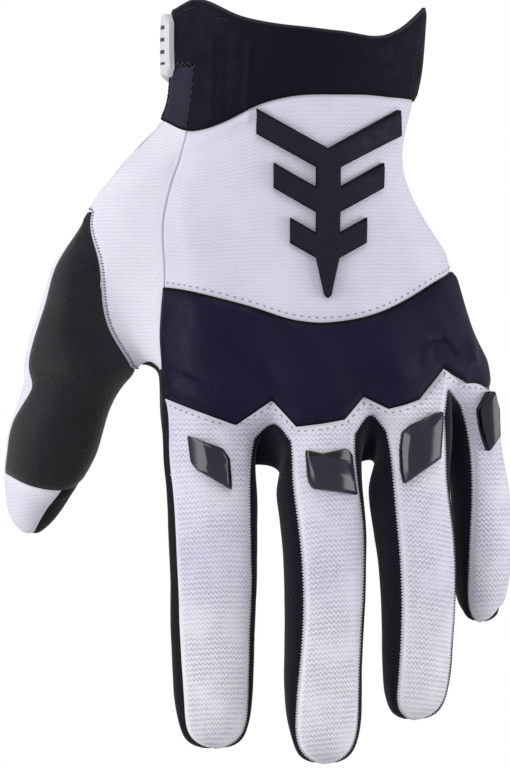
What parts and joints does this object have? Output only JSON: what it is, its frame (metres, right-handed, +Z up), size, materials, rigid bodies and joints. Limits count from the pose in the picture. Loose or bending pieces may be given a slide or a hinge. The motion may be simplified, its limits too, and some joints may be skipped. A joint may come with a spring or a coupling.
{
  "type": "mountain bike glove",
  "caption": "Full-finger glove for the left hand, held open as worn: knit back, padded knuckle band, rubber finger guards, leather palm and a cuff closed by a strap.",
  "frame": {"origin": "the middle of the opening that the hand goes into, at the cuff's rim; the glove is held up there", "axes": "+Z is up out of the opening, away from the fingertips, which point down; -Y is the side of the back of the hand; +X is the little finger's side and -X the thumb's"},
  "size_m": [0.1505, 0.0594, 0.2256],
  "materials": {
    "white_knit": "ribbed white knit with a cool tint",
    "black_knit": "matte black stretch knit",
    "knuckle_neoprene": "smooth dark navy neoprene, slightly glossy",
    "cuff_neoprene": "smooth black neoprene",
    "strap_webbing": "black brushed loop webbing",
    "palm_leather": "matte black synthetic suede",
    "thumb_leather": "matte charcoal synthetic leather",
    "guard_rubber": "glossy dark moulded rubber",
    "badge_rubber": "matte dark moulded rubber",
    "tab_rubber": "smooth white moulded rubber"
  },
  "bodies": {
    "root": {"hand_back": "white_knit", "thumb_gusset": "white_knit", "thumb_back": "white_knit", "finger_back_index": "white_knit", "finger_back_middle": "white_knit", "finger_back_ring": "white_knit", "finger_back_little": "white_knit", "fourchette_index_middle": "black_knit", "fourchette_middle_ring": "black_knit", "fourchette_ring_little": "black_knit", "knuckle_band": "knuckle_neoprene", "cuff": "cuff_neoprene", "cuff_gusset": "cuff_neoprene", "closure_strap": "strap_webbing", "palm": "palm_leather", "finger_palm_index": "palm_leather", "finger_palm_middle": "palm_leather", "finger_palm_ring": "palm_leather", "finger_palm_little": "palm_leather", "thumb_palm": "palm_leather", "thumb_panel": "thumb_leather", "knuckle_guard_index": "guard_rubber", "knuckle_guard_middle": "guard_rubber", "knuckle_guard_ring": "guard_rubber", "knuckle_guard_little": "guard_rubber", "back_badge": "badge_rubber", "strap_tab": "tab_rubber"}
  },
  "joints": []
}
